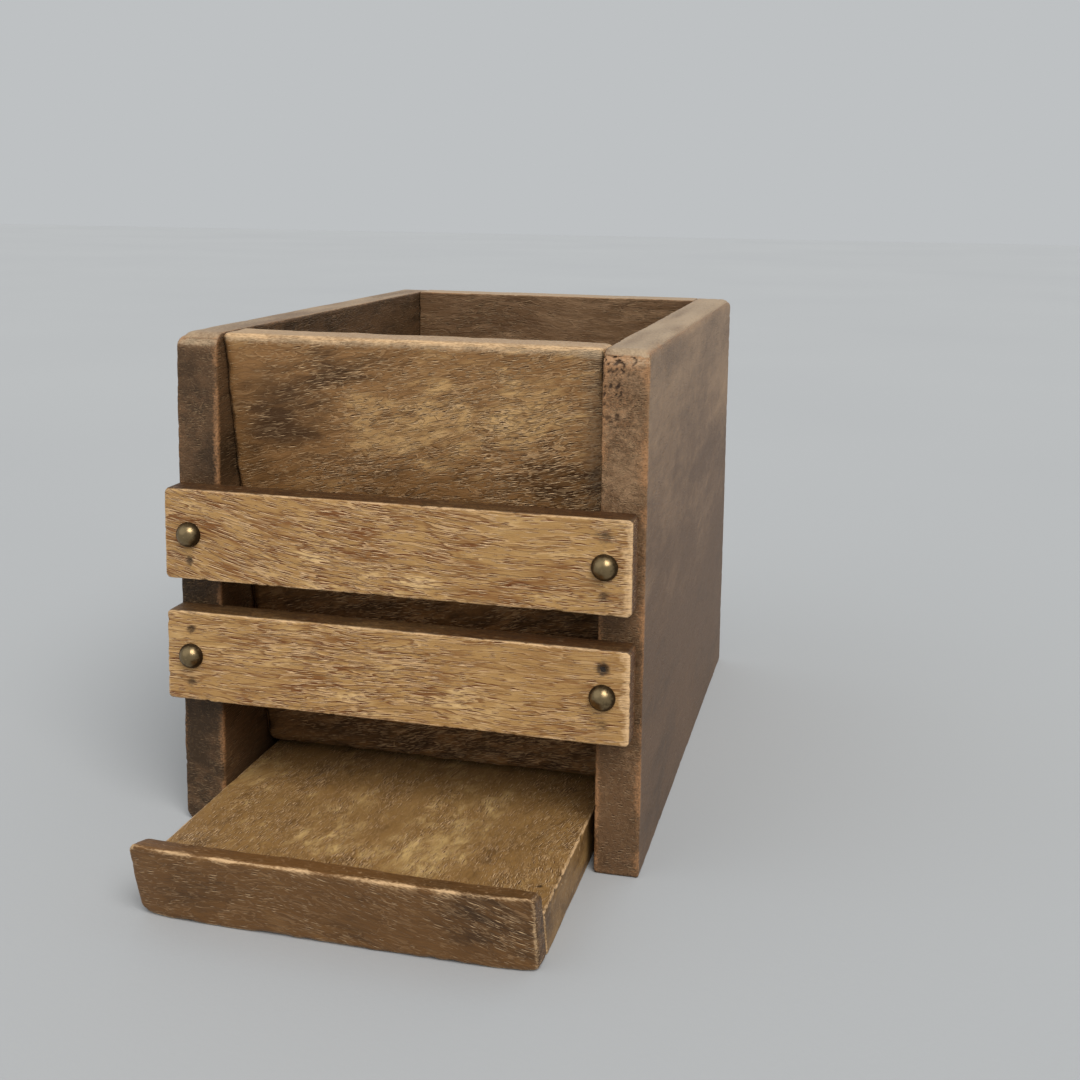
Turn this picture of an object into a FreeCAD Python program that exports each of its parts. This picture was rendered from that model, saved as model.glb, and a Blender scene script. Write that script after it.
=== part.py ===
import FreeCAD, Part
import math
import os

# Pen stand with a drawer: a handmade box of stained solid-wood boards.
# Millimetres. X runs to the right, Y to the back and Z up from the desk.
# Every piece is drawn with y = 0 at the front edges of the two side boards and z = 0 on the desk.
# At export all pieces move together, so that the origin is the centre of the whole footprint
# on the desk, with the drawer standing pulled out.

# Carcass
carcass_width = 102.0
carcass_depth = 139.5
carcass_height = 109.0
side_thickness = 9.5
back_thickness = 9.5
floor_thickness = 5.0

# Sloping front board, set back from the side boards' front edges: more at its foot than at the rim
sloping_thickness = 10.8
rim_setback = 1.8
foot_setback = 21.0

# Drawer: a thick board that slides on the desk under the carcass, with a leaning lip as its front
drawer_thickness = 10.2
drawer_headroom = 0.8
drawer_side_clearance = 1.6
drawer_rear_clearance = 1.5
drawer_stop_clearance = 0.3
drawer_pulled_out = 56.5
lip_height = 17.0
lip_thickness = 7.4
lip_lean = math.radians(16.5)
lip_top_fall = 1.6

# Two slats nailed across the front edges of the side boards; their right ends stop a little short
slat_shortfall = 1.4
slat_height = 19.6
slat_thickness = 6.4
slat_gap = 6.9
slat_rise = 30.6

# Dome-headed nails with square shanks, one in the middle of each slat end
nail_inset = 5.6
dome_diameter = 5.4
dome_height = 2.4
dome_rim = 0.35
shank_width = 1.3
shank_length = 13.0
shank_point = 2.5

# Headless square-wire brads above and below each dome nail, punched just under the wood's face
brad_width = 1.2
brad_length = 15.0
brad_point = 1.5
brad_spread = 5.8
brad_set = 0.4

# Worn edges and corners
side_corner_radius = 4.0
rear_corner_radius = 2.0
edge_radius = 1.0
inner_edge_radius = 0.6
sloping_rim_radius = 2.0
slat_corner_radius = 1.2
lip_corner_radius = 2.4

# Worked-out sizes
half_width = carcass_width / 2
inner_half_width = half_width - side_thickness
back_face = carcass_depth - back_thickness
foot_height = drawer_thickness + drawer_headroom
slope = (foot_setback - rim_setback) / (carcass_height - foot_height)
sloping_run = sloping_thickness * math.sqrt(1 + slope ** 2)
drawer_half_width = inner_half_width - drawer_side_clearance
lip_slope = math.tan(lip_lean)
lip_back = foot_setback - drawer_stop_clearance + foot_height * lip_slope - drawer_pulled_out
lip_front = lip_back - lip_thickness
drawer_reach = lip_height * lip_slope - lip_front
drawer_rear = back_face - drawer_rear_clearance - drawer_pulled_out
slat_left = -half_width
slat_right = half_width - slat_shortfall
slat_rises = {"lower": slat_rise, "upper": slat_rise + slat_height + slat_gap}
nail_places = {"left": slat_left + nail_inset, "right": slat_right - nail_inset}


def near(value, target):
    """Whether two coordinates are the same."""
    return abs(value - target) < 1e-4


def rounded(shape, radius, wall, wanted):
    """Round the edges whose centre passes a test; the radius is limited by the wall it is on."""
    edges = [edge for edge in shape.Edges if wanted(edge.CenterOfMass)]
    return shape.makeFillet(min(radius, wall / 3), edges)


def board_across(profile, left, right):
    """Board with a profile of (y, z) corners, running across the stand from left to right."""
    corners = [FreeCAD.Vector(left, y, z) for y, z in profile]
    outline = Part.makePolygon(corners + corners[:1])
    return Part.Face(outline).extrude(FreeCAD.Vector(right - left, 0, 0))


def corner_arc(before, corner, after, radius):
    """Arc of a radius that rounds the square corner between two neighbouring corners."""
    to_before = (before - corner).normalize()
    to_after = (after - corner).normalize()
    middle = corner + (to_before + to_after) * (radius * (1 - math.sqrt(0.5)))
    return Part.Arc(corner + to_before * radius, middle, corner + to_after * radius)


def outline_with_round_corners(corners, radii):
    """Closed wire through square corners, each rounded by its own radius; 0 leaves it sharp."""
    edges = []
    starts = []
    ends = []
    for index, (corner, radius) in enumerate(zip(corners, radii)):
        if radius:
            arc = corner_arc(corners[index - 1], corner, corners[(index + 1) % len(corners)], radius)
            starts.append(arc.StartPoint)
            ends.append(arc.EndPoint)
            edges.append(arc.toShape())
        else:
            starts.append(corner)
            ends.append(corner)
    for index, end in enumerate(ends):
        edges.append(Part.LineSegment(end, starts[(index + 1) % len(starts)]).toShape())
    return Part.Wire(Part.__sortEdges__(edges))


def sloping_front(z):
    """Depth of the sloping board's front face at height z."""
    return rim_setback + (carcass_height - z) * slope


def side_board(side):
    """Full-height side board; side is -1 for the left one and 1 for the right one."""
    inner = side * inner_half_width
    corners = [
        FreeCAD.Vector(inner, 0, 0),
        FreeCAD.Vector(inner, 0, carcass_height),
        FreeCAD.Vector(inner, carcass_depth, carcass_height),
        FreeCAD.Vector(inner, carcass_depth, 0),
    ]
    outline = outline_with_round_corners(corners, [0, side_corner_radius, rear_corner_radius, 0])
    board = Part.Face(outline).extrude(FreeCAD.Vector(side * side_thickness, 0, 0))

    def outer(c):
        return near(c.x, side * half_width)

    def inner_front_and_rim(c):
        return near(c.x, inner) and c.y < back_face and c.z > drawer_thickness

    board = rounded(board, edge_radius, side_thickness, outer)
    return rounded(board, inner_edge_radius, side_thickness, inner_front_and_rim)


def back_board():
    """Back board, glued between the side boards."""
    profile = [(back_face, 0), (carcass_depth, 0), (carcass_depth, carcass_height), (back_face, carcass_height)]
    board = board_across(profile, -inner_half_width, inner_half_width)

    def inner_rim(c):
        return near(c.z, carcass_height) and near(c.y, back_face)

    def outer_rim(c):
        return near(c.z, carcass_height) and near(c.y, carcass_depth)

    board = rounded(board, rear_corner_radius, back_thickness, outer_rim)
    return rounded(board, inner_edge_radius, back_thickness, inner_rim)


def sloping_board():
    """Front board between the side boards, leaning out to the rim from its foot above the drawer."""
    rim = sloping_front(carcass_height)
    foot = sloping_front(foot_height)
    profile = [
        (rim, carcass_height),
        (foot, foot_height),
        (foot + sloping_run, foot_height),
        (rim + sloping_run, carcass_height),
    ]
    board = board_across(profile, -inner_half_width, inner_half_width)

    def front_rim(c):
        return near(c.z, carcass_height) and near(c.y, rim)

    def back_rim(c):
        return near(c.z, carcass_height) and near(c.y, rim + sloping_run)

    board = rounded(board, sloping_rim_radius, sloping_thickness, front_rim)
    return rounded(board, inner_edge_radius, sloping_thickness, back_rim)


def well_floor():
    """Floor of the pen well, over the drawer; its front edge is bevelled to the sloping board."""
    top = foot_height + floor_thickness
    profile = [
        (sloping_front(foot_height) + sloping_run, foot_height),
        (back_face, foot_height),
        (back_face, top),
        (sloping_front(top) + sloping_run, top),
    ]
    return board_across(profile, -inner_half_width, inner_half_width)


def slat(rise):
    """Slat across the side boards' front edges, with rounded corners and worn front edges."""
    corners = [
        FreeCAD.Vector(slat_left, 0, rise),
        FreeCAD.Vector(slat_right, 0, rise),
        FreeCAD.Vector(slat_right, 0, rise + slat_height),
        FreeCAD.Vector(slat_left, 0, rise + slat_height),
    ]
    outline = outline_with_round_corners(corners, [slat_corner_radius] * len(corners))
    board = Part.Face(outline).extrude(FreeCAD.Vector(0, -slat_thickness, 0))
    return rounded(board, edge_radius, slat_thickness, lambda c: near(c.y, -slat_thickness))


def drawer_board():
    """Thick drawer board; its front end is bevelled to carry the leaning lip."""
    profile = [
        (lip_back, 0),
        (drawer_rear, 0),
        (drawer_rear, drawer_thickness),
        (lip_back - drawer_thickness * lip_slope, drawer_thickness),
    ]
    board = board_across(profile, -drawer_half_width, drawer_half_width)

    def long_top_edge(c):
        return near(c.z, drawer_thickness) and near(abs(c.x), drawer_half_width)

    return rounded(board, inner_edge_radius, drawer_thickness, long_top_edge)


def drawer_lip():
    """Drawer front: a leaning strip, its top falling to the board and all corners rounded but one."""
    top_front = lip_front - lip_height * lip_slope
    corners = [
        FreeCAD.Vector(-drawer_half_width, lip_front, 0),
        FreeCAD.Vector(-drawer_half_width, top_front, lip_height),
        FreeCAD.Vector(drawer_half_width, top_front, lip_height),
        FreeCAD.Vector(drawer_half_width, lip_front, 0),
    ]
    outline = outline_with_round_corners(corners, [lip_corner_radius, lip_corner_radius, lip_corner_radius, 0])
    across_strip = FreeCAD.Vector(0, lip_thickness + lip_top_fall * lip_slope, -lip_top_fall)
    room_above_desk = Part.makeBox(
        carcass_width, drawer_reach, 2 * lip_height, FreeCAD.Vector(-half_width, -drawer_reach, 0)
    )
    strip = Part.Face(outline).extrude(across_strip).common(room_above_desk)

    def front(c):
        return near(c.y, lip_front - c.z * lip_slope)

    def back_rim(c):
        return near(c.z, lip_height - lip_top_fall) and near(c.x, 0)

    strip = rounded(strip, edge_radius, lip_thickness, front)
    return rounded(strip, inner_edge_radius, lip_thickness, back_rim)


def square_wire(width, length, point, x, y, z):
    """Square wire driven towards the back from (x, y, z), blunt at its start and chisel-pointed."""
    half = width / 2
    corners = [(-half, 0), (half, 0), (half, length - point), (0, length), (-half, length - point), (-half, 0)]
    outline = Part.makePolygon([FreeCAD.Vector(x + across, y + depth, z - half) for across, depth in corners])
    return Part.Face(outline).extrude(FreeCAD.Vector(0, 0, width))


def dome():
    """Domed nail head with a thin straight rim, crown towards the front, its flat underside at y = 0."""
    radius = dome_diameter / 2
    rise = dome_height - dome_rim
    sphere_radius = (radius ** 2 + rise ** 2) / (2 * rise)
    half_turn = math.asin(radius / sphere_radius) / 2
    crown = FreeCAD.Vector(0, -dome_height, 0)
    shoulder = crown + FreeCAD.Vector(
        sphere_radius * math.sin(half_turn), sphere_radius * (1 - math.cos(half_turn)), 0
    )
    rim_top = FreeCAD.Vector(radius, -dome_rim, 0)
    centre = FreeCAD.Vector(0, 0, 0)
    arc = Part.Arc(crown, shoulder, rim_top).toShape()
    straight = Part.makePolygon([rim_top, FreeCAD.Vector(radius, 0, 0), centre, crown])
    return Part.Face(Part.Wire([arc] + straight.Edges)).revolve(centre, FreeCAD.Vector(0, 1, 0), 360)


def nail_shank(x, z):
    """Shank of a dome nail from the slat's face into the side board; its hole has the same shape."""
    return square_wire(shank_width, shank_length, shank_point, x, -slat_thickness, z)


def dome_nail(x, z):
    """Dome-headed nail, its head seated on the slat."""
    head = dome()
    head.translate(FreeCAD.Vector(x, -slat_thickness, z))
    return head.fuse(nail_shank(x, z))


def brad(x, z):
    """Headless brad, its blunt end punched under the slat's face."""
    return square_wire(brad_width, brad_length, brad_point, x, brad_set - slat_thickness, z)


def brad_hole(x, z):
    """Hole that a brad fills up to the pit over its blunt end."""
    return square_wire(brad_width, brad_length + brad_set, brad_point, x, -slat_thickness, z)


def all_pieces():
    """Every piece of the stand by name."""
    made = {
        "back_board": back_board(),
        "sloping_front_board": sloping_board(),
        "pen_well_floor": well_floor(),
        "drawer_board": drawer_board(),
        "drawer_lip": drawer_lip(),
    }
    side_holes = {end: [] for end in nail_places}
    for level, rise in slat_rises.items():
        middle = rise + slat_height / 2
        slat_holes = []
        brads = []
        for end, x in nail_places.items():
            made[level + "_" + end + "_dome_nail"] = dome_nail(x, middle)
            end_holes = [nail_shank(x, middle)]
            for height in (middle - brad_spread, middle + brad_spread):
                brads.append(brad(x, height))
                end_holes.append(brad_hole(x, height))
            side_holes[end] += end_holes
            slat_holes += end_holes
        made[level + "_slat"] = slat(rise).cut(slat_holes)
        made[level + "_slat_brads"] = Part.makeCompound(brads)
    made["left_side_board"] = side_board(-1).cut(side_holes["left"])
    made["right_side_board"] = side_board(1).cut(side_holes["right"])
    return made


os.makedirs("parts", exist_ok=True)
pieces = all_pieces()
footprint_centre = (carcass_depth + pieces["drawer_lip"].BoundBox.YMin) / 2
for name, shape in pieces.items():
    shape.translate(FreeCAD.Vector(0, -footprint_centre, 0))
    shape.exportStep("parts/" + name + ".step")
    print(name, len(shape.Solids), "solid(s)", round(shape.Volume), "mm3")
print("front edges of the side boards at y =", round(-footprint_centre, 3))
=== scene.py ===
import math
from itertools import product
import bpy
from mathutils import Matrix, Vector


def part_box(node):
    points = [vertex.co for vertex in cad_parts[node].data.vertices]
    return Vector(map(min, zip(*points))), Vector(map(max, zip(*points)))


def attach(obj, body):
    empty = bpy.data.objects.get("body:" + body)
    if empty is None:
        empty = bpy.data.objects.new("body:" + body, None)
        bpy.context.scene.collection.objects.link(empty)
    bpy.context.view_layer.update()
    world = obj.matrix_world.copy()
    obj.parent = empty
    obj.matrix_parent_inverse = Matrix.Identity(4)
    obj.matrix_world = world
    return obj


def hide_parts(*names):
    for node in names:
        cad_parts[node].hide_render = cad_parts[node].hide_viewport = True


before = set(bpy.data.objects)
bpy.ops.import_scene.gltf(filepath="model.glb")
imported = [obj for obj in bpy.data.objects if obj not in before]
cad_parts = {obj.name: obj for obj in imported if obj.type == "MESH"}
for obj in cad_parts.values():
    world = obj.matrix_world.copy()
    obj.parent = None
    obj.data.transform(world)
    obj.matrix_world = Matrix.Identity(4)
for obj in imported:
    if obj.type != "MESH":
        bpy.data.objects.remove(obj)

from types import SimpleNamespace

import bpy
import numpy as np
from bpy.props import FloatProperty, FloatVectorProperty, IntProperty, PointerProperty
from mathutils import Matrix, Vector

bl_info = {
    "name": "Pen stand with drawer",
    "version": (1, 0, 0),
    "blender": (4, 5, 0),
    "location": "3D View > Sidebar > Pen Stand",
    "description": "Worn stained boards, aged brass nails and a plain studio for the pen stand",
    "category": "Object",
}

# Board shapes are worked out in millimetres, as a joiner would, and turned into metres at the end.
MM = 0.001
X, Y, Z = range(3)
# A strip this wide along every board edge has closer rows of points, this far apart.
EDGE_STRIP = 2.4
EDGE_STEP = 0.3
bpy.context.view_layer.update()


def swatch(red, green, blue):
    """Linear colour of a paint swatch given as it looks on a screen, 0 to 255."""
    shares = [part / 255 for part in (red, green, blue)]
    return tuple(s / 12.92 if s <= 0.04045 else ((s + 0.055) / 1.055) ** 2.4 for s in shares)


def tone(name, about, default):
    """Colour property of a finish."""
    return FloatVectorProperty(
        name=name, description=about, default=default, subtype="COLOR", size=3, min=0.0, max=1.0
    )


def length(name, about, default, most):
    """Length property, kept in metres."""
    return FloatProperty(
        name=name, description=about, default=default * MM, min=0.0, max=most * MM,
        unit="LENGTH", precision=5,
    )


def strength(name, about, default, least=0):
    """Plain number property."""
    return FloatProperty(name=name, description=about, default=default, min=least)


def angle(name, about, degrees):
    """Angle property, given in degrees."""
    default = math.radians(degrees)
    return FloatProperty(name=name, description=about, default=default, subtype="ANGLE")


# ---------------------------------------------------------------- settings


class PenStandWear(bpy.types.PropertyGroup):
    """How the boards were planed, knocked about and worn."""

    arris: length("Arris", "Usual rounding of a worn board edge", 0.5, 3)
    planing: length("Planing", "Depth of the hand-planed waves in a board face", 0.10, 0.5)
    open_grain: length("Open grain", "Depth of the larger open pores in a board face", 0.07, 0.5)
    nicks: length("Nicks", "Depth of the small nicks along the board edges", 0.28, 1)
    seed: IntProperty(name="Seed", description="Start of all random wear", default=11, min=0)


class PenStandStains(bpy.types.PropertyGroup):
    """Colours of the stained boards, from the deepest to the palest part of each."""

    slat_deep: tone("Slat, deep", "Deep streaks of the golden slats", swatch(124, 80, 40))
    slat_main: tone("Slat", "Body colour of the golden slats", swatch(170, 131, 80))
    slat_pale: tone("Slat, pale", "Palest streaks of the golden slats", swatch(218, 182, 128))
    front_deep: tone("Front, deep", "Deep patches of the sloping board", swatch(76, 51, 26))
    front_main: tone("Front", "Body colour of the sloping board", swatch(142, 103, 62))
    front_pale: tone("Front, pale", "Palest patches of the sloping board", swatch(200, 160, 106))
    side_deep: tone("Side, deep", "Deep streaks of the side and back", swatch(56, 40, 23))
    side_main: tone("Side", "Body colour of the side and back", swatch(100, 73, 48))
    side_pale: tone("Side, pale", "Palest streaks of the side and back", swatch(156, 124, 92))
    drawer_deep: tone("Drawer, deep", "Deep streaks of the drawer board", swatch(80, 55, 27))
    drawer_main: tone("Drawer", "Body colour of the drawer board", swatch(136, 103, 60))
    drawer_pale: tone("Drawer, pale", "Palest streaks of the drawer board", swatch(196, 164, 108))
    lip_deep: tone("Lip, deep", "Deep streaks of the drawer lip", swatch(62, 41, 19))
    lip_main: tone("Lip", "Body colour of the drawer lip", swatch(108, 74, 38))
    lip_pale: tone("Lip, pale", "Palest streaks of the drawer lip", swatch(164, 124, 76))
    # Bare edge tone, also used for the pale flecks, which are painted highlights in part.
    bare: tone("Bare edge", "Bare wood where the stain is worn off an edge", swatch(222, 184, 138))
    rubbed: tone("Rubbed edge", "Warm wood where dark stain is rubbed thin", swatch(168, 122, 82))
    # Greyed wood tone, also used for the painted grey sheen high on the outer sides.
    faded: tone("Faded wood", "Greyed wood of the upper rims", swatch(182, 158, 128))
    # Dark tone for dirt, also used for painted shade in corners, recesses and behind the slats.
    grime_and_shade: tone("Grime", "Dark stain and dirt gathered in corners", swatch(40, 25, 14))


class PenStandMetal(bpy.types.PropertyGroup):
    """Colours of the nails."""

    brass: tone("Brass", "Rubbed crown of a dome nail", swatch(134, 115, 84))
    # Aged tone of the domes, also used for their painted dark reflection below.
    patina_and_reflection: tone("Patina", "Aged rim and freckles of a dome nail", swatch(46, 36, 24))
    steel: tone("Steel", "Punched end of a headless brad", swatch(54, 44, 36))


class PenStandStudio(bpy.types.PropertyGroup):
    """Floor, lights and camera."""

    floor: tone("Floor", "Plain pale floor", swatch(178, 180, 181))
    surround: tone("Surround", "Plain pale surround", swatch(190, 193, 195))
    surround_light: strength("Surround light", "Light of the surround", 1.0)
    key_power: strength("Key light", "Strength of the main light", 2.4)
    fill_power: strength("Fill light", "Strength of the weaker second light", 0.4)
    focal_length: strength("Focal length", "Lens of the camera in millimetres", 45.75, least=10)
    yaw: angle("Yaw", "Turn of the camera to its left", 14.09)
    pitch: angle("Pitch", "Tilt of the camera towards the floor", 7.85)
    roll: angle("Roll", "Roll of the camera", 0.70)
    drop: strength("Drop", "Downward shift of the lens", 0.148)


# ---------------------------------------------------------------- finishes


class Amount:
    """A number that varies over a surface. Arithmetic on it adds Math nodes to its finish."""

    def __init__(self, finish, socket):
        self.finish = finish
        self.socket = socket

    def __add__(self, other):
        return self.finish.combine("ADD", self, other)

    def __sub__(self, other):
        return self.finish.combine("SUBTRACT", self, other)

    def __rsub__(self, other):
        return self.finish.combine("SUBTRACT", other, self)

    def __mul__(self, other):
        return self.finish.combine("MULTIPLY", self, other)

    __radd__ = __add__
    __rmul__ = __mul__

    def rise(self, low, high):
        """0 up to low, 1 from high on, and smooth between them; low may be above high."""
        sockets = {"Value": self, "From Min": low, "From Max": high}
        return self.finish.add("ShaderNodeMapRange", {"interpolation_type": "SMOOTHSTEP"}, sockets)


class Finish:
    """A node material under construction. Every node of it comes from add."""

    def __init__(self, name):
        self.material = bpy.data.materials.new(name)
        self.material.use_nodes = True
        self.material.node_tree.nodes.clear()

    def add(self, kind, settings, sockets, output=0):
        """Adds a node, applies its settings and socket values or links, and returns an output."""
        node = self.material.node_tree.nodes.new(kind)
        for setting, value in settings.items():
            setattr(node, setting, value)
        for socket, value in sockets.items():
            if isinstance(value, Amount):
                self.material.node_tree.links.new(value.socket, node.inputs[socket])
            else:
                node.inputs[socket].default_value = value
        return Amount(self, node.outputs[output]) if node.outputs else None

    def combine(self, operation, first, second):
        """Result of a Math node on two numbers or Amounts."""
        return self.add("ShaderNodeMath", {"operation": operation}, {0: first, 1: second})

    def mark(self, name):
        """A number stored on the points of the mesh."""
        return self.add("ShaderNodeAttribute", {"attribute_name": name}, {}, "Fac")

    def grain(self):
        """Place in the wood, in millimetres along, across and through the grain."""
        return self.add("ShaderNodeAttribute", {"attribute_name": "grain"}, {}, "Vector")

    def stretched(self, place, size, offset=0.0):
        """Place measured in units of size along each axis."""
        scale = [1 / part for part in size]
        shift = (offset, offset * 1.7, offset * 2.3)
        settings = {"operation": "MULTIPLY_ADD"}
        return self.add("ShaderNodeVectorMath", settings, {0: place, 1: scale, 2: shift})

    def clouds(self, place, size, detail=0.0, offset=0.0, swirl=0.0):
        """Soft noise, mostly from 0.3 to 0.7, with lumps of that size along each axis."""
        sockets = {"Vector": self.stretched(place, size, offset), "Scale": 1.0, "Detail": detail}
        return self.add("ShaderNodeTexNoise", {}, {**sockets, "Distortion": swirl})

    def dashes(self, place, size, crowd, fray, offset):
        """Scattered frayed spindles, at most one in each cell of that size and more where crowd is
        high: how dark their upper part is, and how pale their lower side is, a painted highlight on
        ripped fibre."""
        cell_place = self.stretched(place, size, offset)
        cells = self.add("ShaderNodeTexVoronoi", {}, {"Vector": cell_place, "Scale": 1.0})
        nodes = cells.socket.node.outputs
        settings = {"operation": "SUBTRACT"}
        middle = Amount(self, nodes["Position"])
        away = self.add("ShaderNodeVectorMath", settings, {0: cell_place, 1: middle})
        above = self.add("ShaderNodeSeparateXYZ", {}, {"Vector": away}, "Y")
        strong = (Amount(self, nodes["Color"]) + crowd * 0.6).rise(0.70, 1.10)
        reach = cells + fray
        dark = reach.rise(0.46, 0.20) * above.rise(-0.20, 0.0) * strong
        # Pale lower side: ripped fibre and a painted highlight, as if lit from above.
        torn_and_highlight = reach.rise(0.52, 0.28) * above.rise(0.0, -0.14) * strong
        return dark, torn_and_highlight

    def blend(self, first, second, share):
        """Colour from first to second by share."""
        first, second = ((*c, 1.0) if isinstance(c, tuple) else c for c in (first, second))
        # Sockets 6 and 7 and output 2 of a Mix node are its colour ones.
        return self.add("ShaderNodeMix", {"data_type": "RGBA"}, {0: share, 6: first, 7: second}, 2)

    def surface(self, colour, roughness, height, **constants):
        """Closes the material: a Principled shader with a bump, its height in millimetres."""
        normal = self.add("ShaderNodeBump", {}, {"Height": height, "Distance": MM})
        sockets = {"Base Color": colour, "Roughness": roughness, "Normal": normal}
        sockets.update({name.replace("_", " "): value for name, value in constants.items()})
        shader = self.add("ShaderNodeBsdfPrincipled", {}, sockets)
        self.add("ShaderNodeOutputMaterial", {}, {"Surface": shader})
        return self.material


def stained_wood(name, tones, streaks, crinkle, figure, pores, flecks, edge="bare"):
    """Open-grained wood, stained and waxed, in three tones. Streaks and crinkle say how long its
    patches of tone and its fine folds are along the grain, figure, pores and flecks say how
    strongly each shows (the pale flecks are ripped fibre with painted highlights), and edge names
    its worn tone."""
    stains = bpy.context.scene.pen_stand_stains
    deep, main, pale = (
        tuple(getattr(stains, tones + part)) for part in ("_deep", "_main", "_pale")
    )
    pore = tuple(part * share for part, share in zip(deep, (0.62, 0.40, 0.28)))
    finish = Finish(name)
    grain = finish.grain()
    crowd = finish.mark("crowd")
    lively = crowd * 0.8 + 0.3

    bands = finish.clouds(grain, (streaks, 2.4, 2.6), detail=2.0, swirl=0.4)
    fibre = finish.clouds(grain, (2.0, 0.26, 0.30), detail=1.0, offset=3.1)
    speckle = finish.clouds(grain, (0.8, 0.5, 0.5), detail=2.0, offset=17.0)
    swirl = 4.0 / crinkle
    folds = finish.clouds(grain, (crinkle, 1.3, 1.6), detail=2.0, offset=9.4, swirl=swirl) - 0.5
    groove = folds.rise(-0.07, -0.015) * folds.rise(0.02, 0.0) * lively
    ridge = folds.rise(0.0, 0.02) * folds.rise(0.08, 0.03) * lively
    fray = (fibre - 0.5) * 0.35
    dash = 1.2 + 0.2 * crinkle
    long_dark, long_torn_and_highlight = finish.dashes(grain, (dash, 0.54, 1.3), crowd, fray, offset=1.3)
    short_dark, short_torn_and_highlight = finish.dashes(grain, (dash * 0.55, 0.38, 0.9), crowd, fray, offset=7.9)
    dark = long_dark + short_dark * 0.8
    torn_and_highlight = long_torn_and_highlight + short_torn_and_highlight * 0.9

    depth = finish.mark("shade") + ((bands - 0.5) * figure + (fibre - 0.5) * 0.35) * lively
    colour = finish.blend(deep, main, depth.rise(0.0, 0.5))
    colour = finish.blend(colour, pale, depth.rise(0.5, 1.0))
    colour = finish.blend(colour, pore, (dark + groove * 0.5) * pores)
    # Pale flecks: ripped fibre and fold ridges in the bare tone, painted highlights in part.
    colour = finish.blend(colour, tuple(stains.bare), (torn_and_highlight + ridge * 0.35) * flecks)
    # Greyed rims and smudges, and a painted grey sheen high on the outer faces of the sides.
    grey_fade_and_sheen = (finish.mark("faded") + (speckle - 0.5) * 0.7).rise(0.1, 0.9)
    colour = finish.blend(colour, tuple(stains.faded), grey_fade_and_sheen * 0.85)
    bare = (finish.mark("worn") + (speckle - 0.5) * 1.2 + (fibre - 0.5) * 0.6).rise(0.20, 1.1)
    colour = finish.blend(colour, tuple(getattr(stains, edge)), bare * 0.8)
    # Real dirt in pores, pits and smudges, and painted shade in corners and recesses, in one tone.
    dirt_and_shade_share = (finish.mark("dirty") + (speckle - 0.5) * 0.6).rise(0.2, 0.95)
    colour = finish.blend(colour, tuple(stains.grime_and_shade), dirt_and_shade_share * 0.85)

    roughness = 0.52 + dark * 0.2 - torn_and_highlight * 0.12 + (speckle - 0.5) * 0.2
    height = fibre * 0.06 + torn_and_highlight * 0.09 - dark * 0.04
    height = height - groove * 0.06 + ridge * 0.06 + speckle * 0.06
    return finish.surface(colour, roughness, height, Specular_IOR_Level=0.24, Coat_Weight=0.02)


def aged_brass():
    """Rubbed brass crown, darker and aged towards the rim and in freckles, with a painted dark
    reflection on its downward-facing lower half.
    """
    metal = bpy.context.scene.pen_stand_metal
    finish = Finish("aged_brass")
    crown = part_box("upper_left_dome_nail")[0][Y]
    place = finish.add("ShaderNodeTexCoord", {}, {}, "Object")
    depth = finish.add("ShaderNodeSeparateXYZ", {}, {"Vector": place}, "Y")
    normal = finish.add("ShaderNodeTexCoord", {}, {}, "Normal")
    upward = finish.add("ShaderNodeSeparateXYZ", {}, {"Vector": normal}, "Z")
    freckles = finish.clouds(place, (0.55 * MM,) * 3, detail=3.0)
    dents = finish.clouds(place, (1.6 * MM,) * 3, detail=1.0, offset=4.2)
    rim = depth.rise(crown + 0.3 * MM, crown + 1.7 * MM)
    # Aged rim and freckles, and a painted dark reflection on the downward-facing lower half.
    patina_and_reflection = (freckles * 0.5 + dents * 0.4 + rim * 0.45 - upward * 0.15).rise(0.42, 0.85)
    colour = finish.blend(tuple(metal.brass), tuple(metal.patina_and_reflection), patina_and_reflection * 0.9)
    roughness = 0.30 + patina_and_reflection * 0.25
    return finish.surface(colour, roughness, dents * 0.06 - freckles * 0.02, Metallic=1.0)


def punched_steel():
    """Dull oxidised end of a brad, with filler smeared over it."""
    metal = bpy.context.scene.pen_stand_metal
    finish = Finish("brad_steel")
    place = finish.add("ShaderNodeTexCoord", {}, {}, "Object")
    rust = finish.clouds(place, (0.35 * MM,) * 3, detail=2.0)
    colour = finish.blend(tuple(metal.steel), swatch(30, 22, 16), rust.rise(0.4, 0.65))
    return finish.surface(colour, 0.6 + rust * 0.3, rust * 0.05, Metallic=0.3)


# ---------------------------------------------------------------- board shapes


def scatter(cells, seed):
    """Random number from -1 to 1 for each whole-number cell."""
    mixed = (cells * np.array([374761393, 668265263, 974634777])).sum(-1) + seed * 1274126177
    mixed = (mixed ^ (mixed >> 13)) * 1103515245 & 0xFFFFFFFF
    mixed = (mixed ^ (mixed >> 16)) * 668265263 & 0xFFFFFFFF
    return (mixed >> 8) / float(0x7FFFFF) - 1


def lumps(points, size, seed):
    """Smooth noise from -1 to 1 at the points, with lumps of that size along each axis."""
    places = points / np.array(size, float)
    cells = np.floor(places).astype(np.int64)
    share = places - cells
    share = share * share * (3 - 2 * share)
    total = np.zeros(len(points))
    for corner in product((0, 1), repeat=3):
        weight = np.prod(np.where(corner, share, 1 - share), axis=-1)
        total += weight * scatter(cells + np.array(corner), seed)
    return total


def smooth(values, low, high):
    """0 at low, 1 at high and smooth between; low may be above high."""
    share = np.clip((values - low) / (high - low), 0, 1)
    return share * share * (3 - 2 * share)


def stations(total, step, strip):
    """Places of the rows of points across a board, closer together in its edge strips."""
    edge = np.arange(0, strip, EDGE_STEP)
    count = max(2, round((total - 2 * strip) / step))
    return np.concatenate([edge, np.linspace(strip, total - strip, count + 1), total - edge[::-1]])


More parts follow.
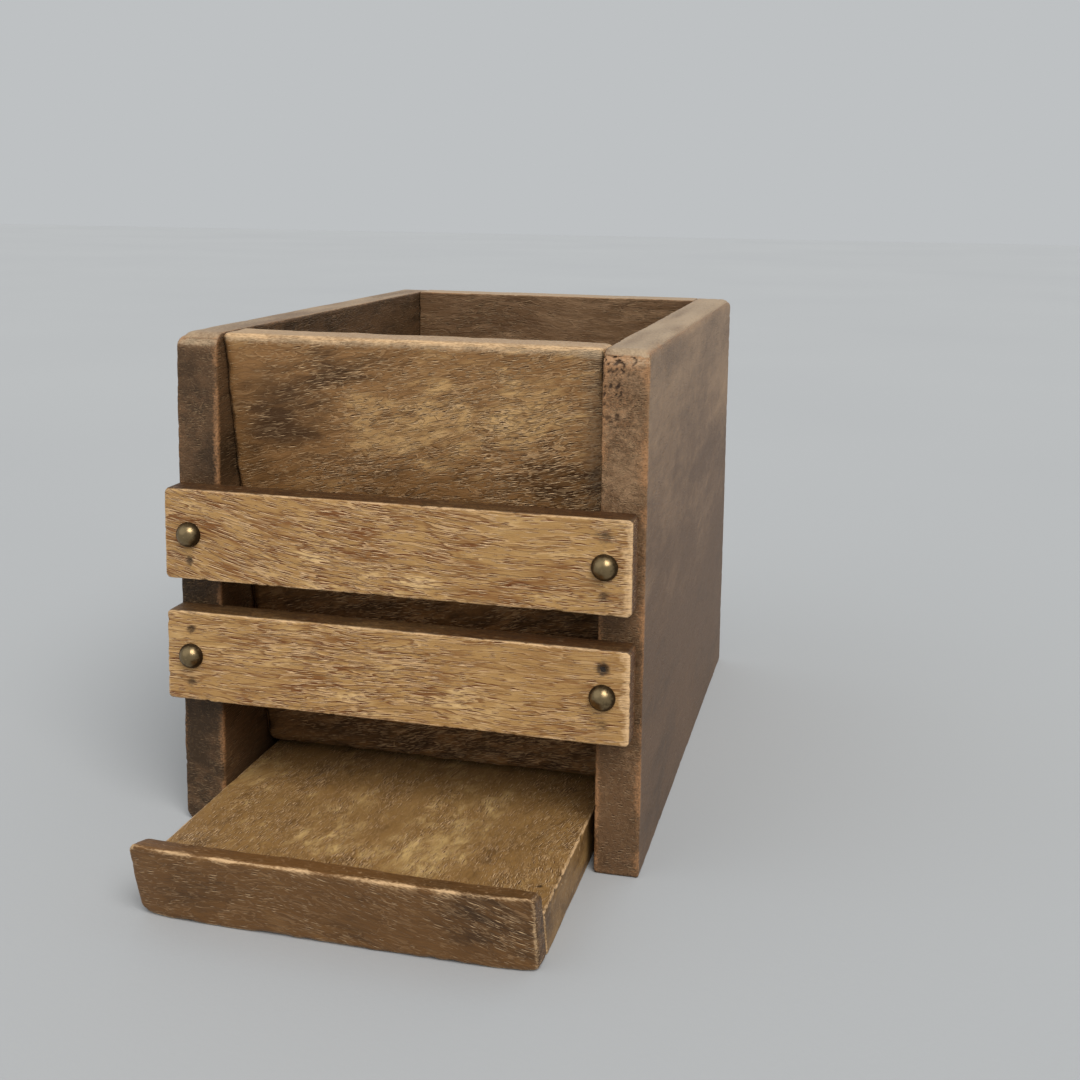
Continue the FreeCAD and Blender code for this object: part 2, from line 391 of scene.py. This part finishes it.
def shell(rows):
    """Points and quads of a closed block with rows of points at the given places along its axes."""
    counts = [len(row) - 1 for row in rows]
    strides = ((counts[Y] + 1) * (counts[Z] + 1), counts[Z] + 1, 1)
    near_ring = ((0, 0), (0, 1), (1, 1), (1, 0))
    far_ring = ((0, 0), (1, 0), (1, 1), (0, 1))
    quads = []
    for axis, a, b in ((X, Y, Z), (Y, Z, X), (Z, X, Y)):
        first, second = np.meshgrid(np.arange(counts[a]), np.arange(counts[b]), indexing="ij")
        for side, corners in ((0, near_ring), (counts[axis], far_ring)):
            start = side * strides[axis] + first * strides[a] + second * strides[b]
            ring = [start + i * strides[a] + j * strides[b] for i, j in corners]
            quads.append(np.stack(ring, -1).reshape(-1, 4))
    used, quads = np.unique(np.concatenate(quads), return_inverse=True)
    places = np.unravel_index(used, [count + 1 for count in counts])
    return np.stack([row[place] for row, place in zip(rows, places)], -1), quads.reshape(-1, 4)


def worn_block(size, steps, number, arris=1.0):
    """Board of that size in millimetres with uneven worn edges, its points about as far apart as
    steps says. The number sets its wear apart from the other boards', and arris is how round its
    edges are beside the usual. It has its points (block.points), the same points before rounding
    (block.flat), the way out of the wood at each (block.out), its quads, and the distance of each
    point from the nearest edge (block.edge). Each kind of wear adds a number to block.seed."""
    wear = bpy.context.scene.pen_stand_wear
    seed = wear.seed + number
    size = np.array(size, float)
    rows = [stations(part, step, min(EDGE_STRIP, part / 3)) for part, step in zip(size, steps)]
    flat, quads = shell(rows)
    usual = wear.arris / MM * arris
    uneven = 0.35 * lumps(flat, (9, 9, 9), seed) + 0.35 * lumps(flat, (2.2, 2.2, 2.2), seed + 1)
    radius = (usual * np.clip(1 + uneven, 0.35, 2))[:, None]
    core = np.clip(flat, radius, size - radius)
    out = flat - core
    out /= np.linalg.norm(out, axis=1)[:, None]
    # The gap to the second nearest face is the one to the nearest edge.
    edge = np.sort(np.minimum(flat, size - flat), axis=1)[:, 1]
    nick = smooth(lumps(flat, (1.3, 1.3, 1.3), seed + 2), 0.45, 0.9) * smooth(edge, 1.2, 0.1)
    dip = nick * wear.nicks / MM
    points = core + out * radius - out * dip[:, None]
    return SimpleNamespace(
        size=size, flat=flat, points=points, out=out, quads=quads, edge=edge, seed=seed
    )


def round_corner(block, axes, corner, radius):
    """Rounds one corner of the block's outline in the plane of two axes; corner has 0 for the low
    and 1 for the high end of each axis."""
    centre = [block.size[axis] - radius if end else radius for axis, end in zip(axes, corner)]
    ways = [1 if end else -1 for end in corner]
    away = [(block.points[:, axis] - middle) * way for axis, middle, way in zip(axes, centre, ways)]
    reach = np.maximum(away[0], away[1])
    inside = (away[0] > 0) & (away[1] > 0)
    distance = np.hypot(away[0], away[1])
    share = np.where(inside, reach / np.maximum(distance, 1e-9), 1)
    for axis, middle, way, gone in zip(axes, centre, ways, away):
        rounded = middle + gone * share * way
        block.points[:, axis] = np.where(inside, rounded, block.points[:, axis])


def set_grain(block, along, across, lean=0.0, sway=0.0, turn=0.0):
    """Stores where each point lies in the wood; lean, in degrees, tilts the grain across the board,
    turn bends it steadily towards both ends, and sway makes it wander."""
    through = X + Y + Z - along - across
    flat = block.flat
    total = block.size[along]
    u = flat[:, along]
    v = flat[:, across] - u * math.tan(math.radians(lean)) + turn * (u - total / 2) ** 2 / total
    wander = lumps(flat, (26, 26, 26), block.seed + 5)
    wander += 0.4 * lumps(flat, (11, 11, 11), block.seed + 6)
    v = v + sway * wander
    offset = block.seed * 31.0
    block.grain = np.stack([u + offset, v + offset, flat[:, through] + offset], -1)
    block.edgewise = smooth(np.abs(block.out[:, across]), 0.5, 0.85)


def cut_grain(block, size=(5.0, 1.0, 1.0)):
    """Cuts open pores and planing waves into the faces of the board."""
    wear = bpy.context.scene.pen_stand_wear
    pores = smooth(lumps(block.grain, size, block.seed + 3), 0.25, 0.75)
    waves = 0.5 + 0.5 * lumps(block.flat, (17, 17, 17), block.seed + 4)
    depth = pores * wear.open_grain / MM + waves * wear.planing / MM
    block.points -= block.out * depth[:, None]
    block.pores = pores


def place_piece(block, to_stand, name, material, slot, body, *nodes):
    """Makes the piece from a finished block; to_stand turns its points into the stand's
    millimetres. The faces that cut the growth rings edgewise show few pores."""
    block.crowd *= 1 - 0.95 * block.edgewise
    mesh = bpy.data.meshes.new(name)
    mesh.from_pydata((to_stand(block.points) * MM).tolist(), [], block.quads.tolist())
    mesh.attributes.new("grain", "FLOAT_VECTOR", "POINT").data.foreach_set(
        "vector", block.grain.astype(np.float32).ravel()
    )
    for mark in ("shade", "worn", "dirty", "crowd", "faded"):
        values = np.clip(getattr(block, mark), 0, 1).astype(np.float32)
        mesh.attributes.new(mark, "FLOAT", "POINT").data.foreach_set("value", values)
    mesh.polygons.foreach_set("use_smooth", [True] * len(mesh.polygons))
    mesh.materials.append(material)
    piece = bpy.data.objects.new(name, mesh)
    bpy.context.scene.collection.objects.link(piece)
    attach(piece, body)
    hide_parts(*nodes)


def node_box(node):
    """Lowest and highest corner of a CAD node in millimetres."""
    low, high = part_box(node)
    return np.array(low) / MM, np.array(high) / MM


def node_points(node):
    """Points of a CAD node's mesh in millimetres."""
    return np.array([vertex.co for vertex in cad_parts[node].data.vertices]) / MM


def foot_points(node):
    """Lowest points of a CAD node's mesh in millimetres."""
    points = node_points(node)
    return points[points[:, Z] < points[:, Z].min() + 0.1]


def facing(block, axis, way):
    """1 on the faces that look along an axis, forwards or backwards, and 0 on the others."""
    return smooth(way * block.out[:, axis], 0.5, 0.85)


def along_edge(block, axes, ends, width):
    """1 on one edge of the block and 0 from that width on; ends has 0 or 1 for each axis."""
    gaps = [block.flat[:, axis] - block.size[axis] * end for axis, end in zip(axes, ends)]
    broken = smooth(lumps(block.flat, (4, 4, 4), block.seed + 12), -0.5, 0.5)
    return smooth(np.hypot(*gaps), width, 0.2) * broken


def patches(block, axes, places):
    """Soft uneven patches of stain; each is a middle on two axes, a reach along them and an amount.
    Middle and reach are in millimetres."""
    total = np.zeros(len(block.flat))
    uneven = 1 + 0.4 * lumps(block.flat, (8, 8, 8), block.seed + 10)
    for middle, reach, amount in places:
        away = [(block.flat[:, axis] - m) / r for axis, m, r in zip(axes, middle, reach)]
        total += amount * smooth(np.hypot(*away) * uneven, 1.3, 0.1)
    return total


def eaten(block, size, share, depth):
    """Small dark pits of about that size where share says so, up to that depth in millimetres."""
    pits = share * smooth(lumps(block.flat, (size, size, size), block.seed + 13), 0.3, 0.6)
    block.points -= block.out * (depth * pits)[:, None]
    block.dirty += 0.8 * pits


def usual_marks(block, wear_width=0.9, strength=0.8):
    """Stain in broad patches, crowded and sparse pores, and edges rubbed bare here and there."""
    broad = lumps(block.grain, (34, 9, 9), block.seed + 7)
    broad += 0.5 * lumps(block.grain, (15, 4, 4), block.seed + 8)
    block.shade = 0.5 + 0.16 * broad
    block.crowd = 0.5 + 0.55 * lumps(block.grain, (11, 5, 5), block.seed + 11)
    rubbed = 0.75 + 0.35 * lumps(block.flat, (7, 7, 7), block.seed + 9)
    block.worn = strength * smooth(block.edge, wear_width, 0.15) * rubbed
    block.dirty = 0.2 * block.pores
    block.faded = np.zeros(len(block.flat))


# ---------------------------------------------------------------- pieces


class PENSTAND_OT_side_boards(bpy.types.Operator):
    """Builds the two side boards, end grain to the front"""

    bl_idname = "penstand.side_boards"
    bl_label = "Side boards"

    def execute(self, context):
        wood = stained_wood(
            "side_wood", "side", streaks=7, crinkle=8,
            figure=0.9, pores=0.5, flecks=0.25, edge="rubbed",
        )
        for right, side in enumerate(("left", "right")):
            node = side + "_side_board"
            low, high = node_box(node)
            block = worn_block(high - low, steps=(0.45, 1.1, 0.5), number=10 * right)
            round_corner(block, (Y, Z), (0, 1), radius=4.0)
            round_corner(block, (Y, Z), (1, 1), radius=2.0)
            round_corner(block, (X, Z), (right, 1), radius=2.4)
            if not right:
                near_front = smooth(block.flat[:, Y], 30, 5)[:, None]
                square = block.points.copy()
                round_corner(block, (X, Z), (0, 0), radius=2.2)
                block.points = square + (block.points - square) * near_front
            set_grain(block, Y, Z, lean=2, sway=1.6)
            cut_grain(block)
            usual_marks(block, wear_width=1.8, strength=0.45)
            inner = 1 - right
            front = facing(block, Y, -1)
            drop = block.size[Z] - block.flat[:, Z]
            rim = np.maximum(facing(block, Z, 1), front * smooth(drop, 3.6, 2.0))
            outside = facing(block, X, 1 if right else -1)
            # Rims a little paler; outer faces lighter near the top and darker towards the foot, a
            # painted reflection.
            block.shade += 0.1 * rim + outside * (0.22 - 0.32 * smooth(drop, 10, 100))
            block.shade += front * (1 - rim) * (0.12 if right else -0.30)
            block.shade -= front * (0.2 if right else 0.1) * smooth(drop, 20, 70)
            streaky = (0.48, 0.60)[right] + 0.18 * lumps(block.flat, (2.6, 16, 60), block.seed + 15)
            # Greyed rims, and a painted grey sheen on the upper part of the outer faces.
            block.faded += rim * streaky + 0.3 * outside * smooth(drop, 60, 0)
            # Inner faces darker: painted shade inside the well.
            block.shade -= (0.22, 0.12)[right] * facing(block, X, -1 if right else 1)
            block.crowd *= 1 - 0.85 * outside
            block.worn += (0.45 if right else 0.1) * along_edge(block, (X, Y), (right, 0), 4.0)
            upper_edge = along_edge(block, (X, Z), (right, 1), 3.0)
            block.worn += 0.35 * upper_edge * smooth(block.flat[:, Y], 70, 0)
            block.worn += 0.45 * along_edge(block, (X, Y), (inner, 0), 2.4)
            if right:
                inward = smooth(block.flat[:, X], 9, 3)
                crumbly = front * smooth(drop, 24, 8) * inward + 0.5 * front * smooth(drop, 6, 2)
                pitted = crumbly + 0.3 * front * smooth(drop, 60, 80)
                eaten(block, size=0.55, share=pitted, depth=0.35)
                block.dirty += 0.2 * crumbly
                block.worn += 0.3 * crumbly
                block.worn += front * (0.25 * smooth(drop, 7, 2) + 0.2 * smooth(drop, 40, 20))
                block.faded += 0.35 * front * smooth(drop, 14, 4)
            name = side + "_side"
            place_piece(block, lambda p: p + low, name, wood, "side_wood", "carcass", node)
        return {"FINISHED"}


class PENSTAND_OT_back_board(bpy.types.Operator):
    """Builds the back board between the side boards"""

    bl_idname = "penstand.back_board"
    bl_label = "Back board"

    def execute(self, context):
        node = "back_board"
        wood = stained_wood(
            "back_wood", "side", streaks=9, crinkle=8,
            figure=0.9, pores=0.6, flecks=0.3, edge="rubbed",
        )
        low, high = node_box(node)
        block = worn_block(high - low, steps=(1.1, 0.9, 1.0), number=20, arris=0.7)
        set_grain(block, X, Z, sway=1.5)
        cut_grain(block)
        usual_marks(block, wear_width=0.8, strength=0.6)
        rim = facing(block, Z, 1)
        block.shade += 0.1 + 0.2 * rim
        block.faded += 0.6 * rim
        place_piece(block, lambda p: p + low, "back_panel", wood, "back_wood", "carcass", node)
        return {"FINISHED"}


class PENSTAND_OT_sloping_board(bpy.types.Operator):
    """Builds the sloping front board between the side boards"""

    bl_idname = "penstand.sloping_board"
    bl_label = "Sloping front board"

    def execute(self, context):
        node = "sloping_front_board"
        wood = stained_wood(
            "sloping_wood", "front", streaks=6, crinkle=6, figure=1.3, pores=0.8, flecks=0.85
        )
        low, high = node_box(node)
        foot = foot_points(node)
        thick = foot[:, Y].max() - foot[:, Y].min()
        setback = foot[:, Y].min() - low[Y]
        tall = high[Z] - low[Z]
        size = (high[X] - low[X], thick, tall)
        block = worn_block(size, steps=(0.5, 1.0, 0.55), number=30, arris=3.4)
        set_grain(block, X, Z, lean=11, sway=1.8)
        cut_grain(block)
        usual_marks(block, wear_width=1.2, strength=0.5)
        front = facing(block, Y, -1)
        rim = facing(block, Z, 1)
        stain = patches(block, (X, Z), (
            ((11, 79), (17, 14), -0.56), ((9, 93), (12, 4), 0.12), ((46, 79), (26, 11), 0.27),
            ((66, 86), (18, 9), 0.20), ((34, 90), (20, 5), -0.15), ((71, 70), (13, 7), -0.24),
            ((81, 82), (3, 24), -0.18), ((50, 70), (12, 6), 0.14), ((34, 69), (10, 4), -0.22),
        ))
        block.crowd = (block.crowd + 0.2) * (1 - 0.7 * smooth(block.flat[:, X], 30, 10))
        drop = tall - block.flat[:, Z]
        rim = np.maximum(rim, front * smooth(drop, 2.8, 1.2))
        block.shade += front * stain + 0.1 * rim
        block.faded += 0.55 * rim + 0.3 * front * smooth(block.flat[:, X], 76, 80)
        block.worn += 0.25 * rim + 0.3 * along_edge(block, (Y, Z), (0, 1), 3.2)
        ends = np.minimum(block.flat[:, X], block.size[X] - block.flat[:, X])
        # Painted shade on the part of the board behind and below the slats.
        slats_low = node_box("upper_slat")[0][Z] - low[Z]
        shade_behind_slats = smooth(block.flat[:, Z], slats_low + 3, slats_low - 3)
        block.shade -= 0.25 * front * shade_behind_slats
        block.dirty += 0.3 * front * shade_behind_slats
        # Dark joint lines and painted shade in the corners where the board meets the sides.
        block.dirty += front * (0.7 * smooth(ends, 0.8, 0.1) + 0.35 * smooth(ends, 3.5, 0.2))

        def to_stand(p):
            lean = setback * (1 - p[:, Z] / tall)
            return np.stack([p[:, X] + low[X], p[:, Y] + low[Y] + lean, p[:, Z] + low[Z]], -1)

        place_piece(block, to_stand, "sloping_front", wood, "sloping_wood", "carcass", node)
        return {"FINISHED"}


class PENSTAND_OT_well_floor(bpy.types.Operator):
    """Builds the floor of the pen well"""

    bl_idname = "penstand.well_floor"
    bl_label = "Pen well floor"

    def execute(self, context):
        wood = stained_wood(
            "floor_wood", "side", streaks=9, crinkle=8,
            figure=0.6, pores=0.4, flecks=0.3, edge="rubbed",
        )
        low, high = node_box("pen_well_floor")
        bevel = foot_points("pen_well_floor")[:, Y].min() - low[Y]
        block = worn_block(high - low, steps=(1.5, 1.5, 1.2), number=40, arris=0.3)
        set_grain(block, X, Y, sway=1.5)
        cut_grain(block)
        usual_marks(block, wear_width=0.5, strength=0.2)
        # Darker all over and most towards its edges: painted shade where the well walls meet it.
        block.dirty = 0.5 * smooth(block.edge, 6, 0) + 0.2

        def to_stand(p):
            front = bevel * (1 - p[:, Z] / block.size[Z]) * (1 - p[:, Y] / block.size[Y])
            return np.stack([p[:, X], p[:, Y] + front, p[:, Z]], -1) + low

        place_piece(block, to_stand, "well_floor", wood, "floor_wood", "carcass", "pen_well_floor")
        return {"FINISHED"}


def brad_places(node):
    """Where the brads of a slat end: x and z of the lower and upper left and then right one."""
    points = node_points(node)
    low, high = node_box(node)
    wire = np.unique(points[:, X].round(2))
    half = wire[1] - wire[0]
    ends = ((low[axis] + half, high[axis] - half) for axis in (X, Z))
    return list(product(*ends))


class PENSTAND_OT_slats(bpy.types.Operator):
    """Builds the two golden slats, with pits over the punched brads"""

    bl_idname = "penstand.slats"
    bl_label = "Slats"

    def execute(self, context):
        wood = stained_wood(
            "slat_wood", "slat", streaks=10, crinkle=13, figure=1.6, pores=1.3, flecks=1.05
        )
        # Each slat with the lean and turn of its grain, and how open the pit over each brad is.
        levels = (
            ("upper", -5, -0.14, (0.5, 0.1, 0.3, 0.1)),
            ("lower", 1, 0.0, (0.3, 0.5, 0.25, 1.0)),
        )
        for lower, (level, lean, turn, open_pits) in enumerate(levels):
            node = level + "_slat"
            low, high = node_box(node)
            number = 50 + 10 * lower
            block = worn_block(high - low, steps=(0.5, 0.6, 0.42), number=number, arris=0.75)
            for corner in product((0, 1), repeat=2):
                round_corner(block, (X, Z), corner, radius=1.1)
            set_grain(block, X, Z, lean=lean, sway=0.9, turn=turn)
            cut_grain(block, (4.2, 0.75, 0.75))
            usual_marks(block, wear_width=0.8, strength=0.9)
            end = facing(block, X, 1)
            dense = patches(block, (X, Z), (((46, 8), (34, 13), 0.45), ((18, 15), (14, 5), 0.3)))
            block.crowd = (0.25 + 0.8 * block.crowd + dense) * (1.0, 0.8)[lower]
            top = facing(block, Z, 1)
            block.shade += (-0.04, 0.0)[lower] - 0.6 * end - 0.3 * top
            block.dirty += 0.6 * end + 0.8 * top
            long, tall = block.size[X], block.size[Z]
            smudges = facing(block, Y, -1) * patches(block, (X, Z), (
                ((long - 6, tall - 3), (5, 4), 0.35), ((long - 6, 2), (5, 3), 0.3),
            ))
            block.faded += 0.7 * smudges
            block.dirty += (0.8, 0.4)[lower] * smudges
            block.shade -= lower * 0.10 * smooth(block.flat[:, X], 60, 95)
            from_end = long - block.flat[:, X] + lumps(block.flat, (3, 3, 0.8), block.seed)
            block.worn += 0.8 * facing(block, Y, -1) * smooth(from_end, 2.6, 0.8)
            block.worn += (0.3, 0.5)[lower] * along_edge(block, (Y, Z), (0, 1), 1.2)
            front = smooth(block.flat[:, Y], 0.6, 0.2)
            for (x, z), pit in zip(brad_places(node + "_brads"), open_pits):
                ragged = 0.3 * lumps(block.flat, (0.6, 0.6, 0.6), block.seed + 12)
                away = np.hypot(block.flat[:, X] + low[X] - x, block.flat[:, Z] + low[Z] - z)
                away = away * (1 + ragged)
                block.points[:, Y] += front * (0.1 + 0.4 * pit) * smooth(away, 0.95, 0.45)
                stain = 0.9 * pit * smooth(away, 1.2, 0.5)
                stain += (0.2 + 0.4 * pit) * smooth(away, 2.6, 0.8)
                block.dirty += front * stain
            name = level + "_front_slat"
            place_piece(block, lambda p: p + low, name, wood, "slat_wood", "carcass", node)
        return {"FINISHED"}


class PENSTAND_OT_drawer_board(bpy.types.Operator):
    """Builds the thick drawer board, grain front to back"""

    bl_idname = "penstand.drawer_board"
    bl_label = "Drawer board"

    def execute(self, context):
        wood = stained_wood(
            "drawer_wood", "drawer", streaks=4.5, crinkle=3.6, figure=1.3, pores=0.8, flecks=0.8
        )
        low, high = node_box("drawer_board")
        bevel = foot_points("drawer_board")[:, Y].min() - low[Y]
        block = worn_block(high - low, steps=(0.6, 0.8, 0.8), number=70, arris=0.8)
        set_grain(block, Y, X, lean=6, sway=2.2)
        cut_grain(block)
        usual_marks(block, wear_width=0.8, strength=0.8)
        top = facing(block, Z, 1)
        block.crowd *= 0.9
        worm_hole = np.hypot(block.flat[:, X] - block.size[X] + 3, block.flat[:, Y] - 9)
        block.dirty += top * smooth(worm_hole, 0.9, 0.4)
        eaten(block, size=0.9, share=along_edge(block, (X, Z), (1, 1), 2.0), depth=0.4)
        block.shade += top * patches(block, (X, Y), (
            ((40, 14), (26, 9), 0.22), ((14, 30), (12, 14), 0.08), ((58, 34), (12, 18), 0.12),
            ((30, 45), (20, 12), -0.15), ((10, 8), (8, 7), -0.15), ((70, 12), (9, 10), -0.08),
        ))
        side = facing(block, X, 1)
        block.shade += side * (0.3 * lumps(block.flat, (60, 9, 1.4), block.seed + 1) - 0.08)
        left_edge, right_edge = (along_edge(block, (X, Z), (end, 1), 1.2) for end in (0, 1))
        block.worn += 0.3 * left_edge + 0.3 * right_edge

        def to_stand(p):
            front = bevel * (1 - p[:, Z] / block.size[Z]) * smooth(p[:, Y], 12, 0)
            return np.stack([p[:, X], p[:, Y] + front, p[:, Z]], -1) + low

        place_piece(block, to_stand, "drawer_tray", wood, "drawer_wood", "drawer", "drawer_board")
        return {"FINISHED"}


class PENSTAND_OT_drawer_lip(bpy.types.Operator):
    """Builds the leaning lip, the front of the drawer"""

    bl_idname = "penstand.drawer_lip"
    bl_label = "Drawer lip"

    def execute(self, context):
        wood = stained_wood(
            "lip_wood", "lip", streaks=7, crinkle=5, figure=1.3, pores=0.7, flecks=0.75
        )
        low, high = node_box("drawer_lip")
        foot = foot_points("drawer_lip")
        thick = foot[:, Y].max() - foot[:, Y].min()
        tall = high[Z] - low[Z]
        lean = foot[:, Y].min() - low[Y]
        size = (high[X] - low[X], thick, tall)
        block = worn_block(size, steps=(0.5, 0.5, 0.45), number=80, arris=2.0)
        for corner, radius in (((0, 0), 2.4), ((0, 1), 2.4), ((1, 1), 1.4)):
            round_corner(block, (X, Z), corner, radius=radius)
        set_grain(block, X, Z, lean=-9, sway=1.2, turn=0.25)
        cut_grain(block)
        usual_marks(block, wear_width=1.0, strength=0.7)
        end = facing(block, X, 1)
        top = facing(block, Z, 1)
        block.shade -= 0.15 * end + 0.1 * top
        block.shade += facing(block, Y, -1) * (patches(block, (X, Z), (
            ((12, 9), (9, 9), -0.18), ((30, 10), (6, 12), 0.12), ((48, 7), (10, 8), -0.10),
            ((66, 9), (5, 11), -0.22), ((56, 12), (9, 6), 0.14), ((88, 8), (10, 9), 0.08),
        )) - 0.04)
        block.crowd *= 0.3 + 0.35 * smooth(block.flat[:, X], 30, 65)
        upper_edge = along_edge(block, (Y, Z), (0, 1), 3.4)
        block.worn += 0.5 * upper_edge + 0.12 * along_edge(block, (X, Y), (1, 0), 3.0)
        block.worn += 0.2 * along_edge(block, (Y, Z), (0, 0), 1.2)

        def to_stand(p):
            # The top falls towards the back, the front bows at both ends, the back edge waves.
            share = p[:, Z] / tall
            fall = 1.6 * share * p[:, Y] / thick
            bow = 1.3 * (1 - p[:, Y] / thick) * np.abs(p[:, X] / block.size[X] * 2 - 1) ** 8
            uneven = 0.45 * lumps(block.flat, (11, 60, 60), block.seed)
            wave = uneven * smooth(share, 0.65, 1) * p[:, Y] / thick
            y = p[:, Y] + low[Y] + lean * (1 - share) + bow + wave
            return np.stack([p[:, X] + low[X], y, p[:, Z] + low[Z] - fall], -1)

        place_piece(block, to_stand, "lip", wood, "lip_wood", "drawer", "drawer_lip")
        return {"FINISHED"}


class PENSTAND_OT_nails(bpy.types.Operator):
    """Finishes the brass dome nails and the steel brads"""

    bl_idname = "penstand.nails"
    bl_label = "Nails"

    def execute(self, context):
        brass = aged_brass()
        steel = punched_steel()
        for level in ("upper", "lower"):
            for side in ("left", "right"):
                refinish(level + "_" + side + "_dome_nail", brass)
            refinish(level + "_slat_brads", steel)
        return {"FINISHED"}


def refinish(node, material):
    """Gives a CAD node a new material."""
    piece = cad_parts[node]
    for place in piece.material_slots:
        place.material = material


# ---------------------------------------------------------------- stage


def add_light(name, power, spread, place, colour):
    """Far light, shining from a place towards the middle of the stand; spread is in degrees."""
    lamp = bpy.data.lights.new(name, "SUN")
    lamp.energy = power
    lamp.angle = math.radians(spread)
    lamp.color = colour
    light = bpy.data.objects.new(name, lamp)
    light.location = place
    light.rotation_euler = Vector(place).to_track_quat("Z", "Y").to_euler()
    bpy.context.scene.collection.objects.link(light)


def add_camera(studio):
    """Camera at the height and angle from which the stand is looked at."""
    lens = bpy.data.cameras.new("camera")
    lens.sensor_width = 36
    lens.lens = studio.focal_length
    lens.shift_y = -studio.drop
    lens.clip_start = 0.01
    camera = bpy.data.objects.new("camera", lens)
    turn = Matrix.Rotation(studio.yaw, 3, "Z") @ Matrix.Rotation(math.pi / 2 - studio.pitch, 3, "X")
    turn = turn @ Matrix.Rotation(studio.roll, 3, "Z")
    place = (0.09470, -0.30929, 0.13953)
    camera.matrix_world = Matrix.Translation(place) @ turn.to_4x4()
    bpy.context.scene.collection.objects.link(camera)
    bpy.context.scene.camera = camera


class PENSTAND_OT_studio(bpy.types.Operator):
    """Sets the floor, the lights, the surround and the camera"""

    bl_idname = "penstand.studio"
    bl_label = "Studio"

    def execute(self, context):
        studio = context.scene.pen_stand_studio
        context.scene.view_settings.view_transform = "Standard"
        world = bpy.data.worlds.new("surround")
        world.use_nodes = True
        sky = world.node_tree.nodes["Background"]
        sky.inputs["Color"].default_value = (*studio.surround, 1)
        sky.inputs["Strength"].default_value = studio.surround_light
        context.scene.world = world
        mesh = bpy.data.meshes.new("floor")
        reach = 4.0
        corners = [(-reach, -reach, 0), (reach, -reach, 0), (reach, reach, 0), (-reach, reach, 0)]
        mesh.from_pydata(corners, [], [(0, 1, 2, 3)])
        floor = bpy.data.objects.new("floor", mesh)
        finish = Finish("floor_paint")
        place = finish.add("ShaderNodeTexCoord", {}, {}, "Object")
        cloudy = finish.clouds(place, (0.4,) * 3, detail=2.0)
        grit = finish.clouds(place, (0.0012,) * 3, detail=1.0)
        paint = finish.blend(tuple(studio.floor), swatch(170, 172, 174), cloudy)
        mesh.materials.append(finish.surface(paint, 0.7 + cloudy * 0.1, grit * 0.02))
        context.scene.collection.objects.link(floor)
        warm, cool = (1.0, 0.98, 0.95), (0.95, 0.98, 1.0)
        add_light("key", studio.key_power, spread=38, place=(0.5, -0.75, 1.0), colour=warm)
        add_light("fill", studio.fill_power, spread=60, place=(-0.9, -0.8, 0.7), colour=cool)
        add_camera(studio)
        return {"FINISHED"}


# ---------------------------------------------------------------- add-on


class PENSTAND_PT_panel(bpy.types.Panel):
    """Lists the stand's settings and the steps that build it"""

    bl_idname = "PENSTAND_PT_panel"
    bl_label = "Pen stand"
    bl_space_type = "VIEW_3D"
    bl_region_type = "UI"
    bl_category = "Pen Stand"

    def draw(self, context):
        for settings in GROUPS:
            group = getattr(context.scene, settings)
            box = self.layout.box()
            for name in group.__annotations__:
                box.prop(group, name)
        for operator in OPERATORS:
            self.layout.operator(operator.bl_idname)


GROUPS = {
    "pen_stand_wear": PenStandWear,
    "pen_stand_stains": PenStandStains,
    "pen_stand_metal": PenStandMetal,
    "pen_stand_studio": PenStandStudio,
}
OPERATORS = (
    PENSTAND_OT_side_boards,
    PENSTAND_OT_back_board,
    PENSTAND_OT_sloping_board,
    PENSTAND_OT_well_floor,
    PENSTAND_OT_slats,
    PENSTAND_OT_drawer_board,
    PENSTAND_OT_drawer_lip,
    PENSTAND_OT_nails,
    PENSTAND_OT_studio,
)


def register():
    for settings, group in GROUPS.items():
        bpy.utils.register_class(group)
        setattr(bpy.types.Scene, settings, PointerProperty(type=group))
    for made in (*OPERATORS, PENSTAND_PT_panel):
        bpy.utils.register_class(made)


def unregister():
    for made in (PENSTAND_PT_panel, *reversed(OPERATORS)):
        bpy.utils.unregister_class(made)
    for settings, group in reversed(GROUPS.items()):
        delattr(bpy.types.Scene, settings)
        bpy.utils.unregister_class(group)


def main():
    """Builds the whole stand and its stage."""
    register()
    for operator in OPERATORS:
        family, step = operator.bl_idname.split(".")
        getattr(getattr(bpy.ops, family), step)()
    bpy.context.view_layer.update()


if __name__ == "__main__":
    main()
